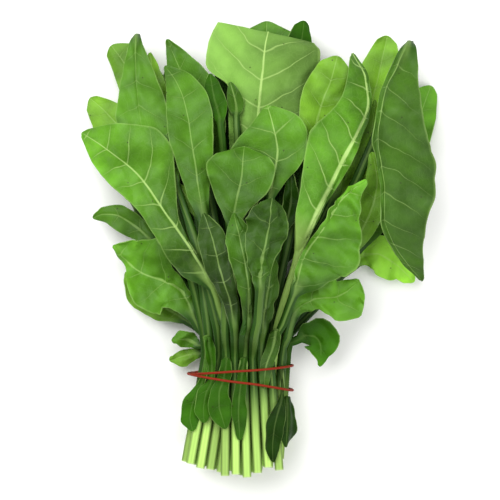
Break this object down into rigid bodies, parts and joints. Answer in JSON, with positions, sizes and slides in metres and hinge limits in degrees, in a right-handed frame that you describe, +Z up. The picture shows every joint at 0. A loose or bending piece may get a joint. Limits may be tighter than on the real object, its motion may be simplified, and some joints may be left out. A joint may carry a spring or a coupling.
{
  "type": "spinach bunch",
  "caption": "Bunch of fresh spinach lying on its side: smooth-edged green leaves on long pale stems, tied at the neck by a thin red rubber band wound round them.",
  "frame": {"origin": "centre of the footprint, on the surface that the bunch lies on", "axes": "+Z up from that surface; +Y from the cut stems to the leaf tips; +X to the right when looking down with the tips away from the viewer"},
  "size_m": [0.2522, 0.3208, 0.0926],
  "materials": {
    "leaf_mid": "fresh leaf, waxy green blade with a paler midrib and stem",
    "leaf_bright": "fresh leaf, thin yellow-green blade that lets light through",
    "leaf_dark": "fresh leaf, deep green blade",
    "leaf_pale": "fresh leaf seen from its pale matt underside with raised veins",
    "band_rubber": "red-brown natural rubber, slightly matt"
  },
  "bodies": {
    "root": {"leaf_under_middle": "leaf_dark", "leaf_under_left": "leaf_mid", "leaf_under_right": "leaf_mid", "leaf_under_far_left": "leaf_dark", "leaf_under_far_right": "leaf_dark", "leaf_under_left_middle": "leaf_mid", "leaf_under_right_middle": "leaf_mid", "leaf_under_top": "leaf_dark", "leaf_low_left_bit": "leaf_bright", "leaf_low_left_back": "leaf_bright", "leaf_right_low": "leaf_bright", "leaf_right_back": "leaf_mid", "leaf_left_back_tip": "leaf_bright", "leaf_left_back_bright": "leaf_bright", "leaf_top_back": "leaf_mid", "leaf_top_dark": "leaf_dark", "leaf_right_back_bright": "leaf_bright", "leaf_right_strip": "leaf_bright", "leaf_right_fold": "leaf_mid", "leaf_low_left_point": "leaf_mid", "leaf_left_middle": "leaf_mid", "leaf_left_tall": "leaf_mid", "leaf_left_strip": "leaf_bright", "leaf_left_dark": "leaf_mid", "leaf_top_pale": "leaf_pale", "leaf_top_small": "leaf_mid", "leaf_right_inner": "leaf_bright", "leaf_right_narrow": "leaf_bright", "leaf_left_droop": "leaf_mid", "leaf_left_slender": "leaf_pale", "leaf_left_small_light": "leaf_bright", "leaf_left_inner_small": "leaf_mid", "leaf_left_broad": "leaf_mid", "leaf_centre_dark": "leaf_dark", "leaf_top_small_left": "leaf_dark", "leaf_centre_broad": "leaf_mid", "leaf_front_long": "leaf_mid", "leaf_right_broad": "leaf_mid", "leaf_right_low_dark": "leaf_dark", "leaf_right_low_lobe": "leaf_mid", "leaf_right_front": "leaf_mid", "leaf_centre_low": "leaf_mid", "leaf_front_left": "leaf_mid", "leaf_centre_left_front": "leaf_mid", "leaf_centre_strap": "leaf_mid", "leaf_centre_crumpled": "leaf_mid", "leaf_drop_outer_right": "leaf_dark", "leaf_drop_outer_left": "leaf_dark", "leaf_drop_left": "leaf_dark", "leaf_drop_inner_left": "leaf_dark", "leaf_drop_middle": "leaf_dark", "leaf_drop_light": "leaf_mid", "leaf_drop_right": "leaf_dark", "rubber_band": "band_rubber"}
  },
  "joints": []
}
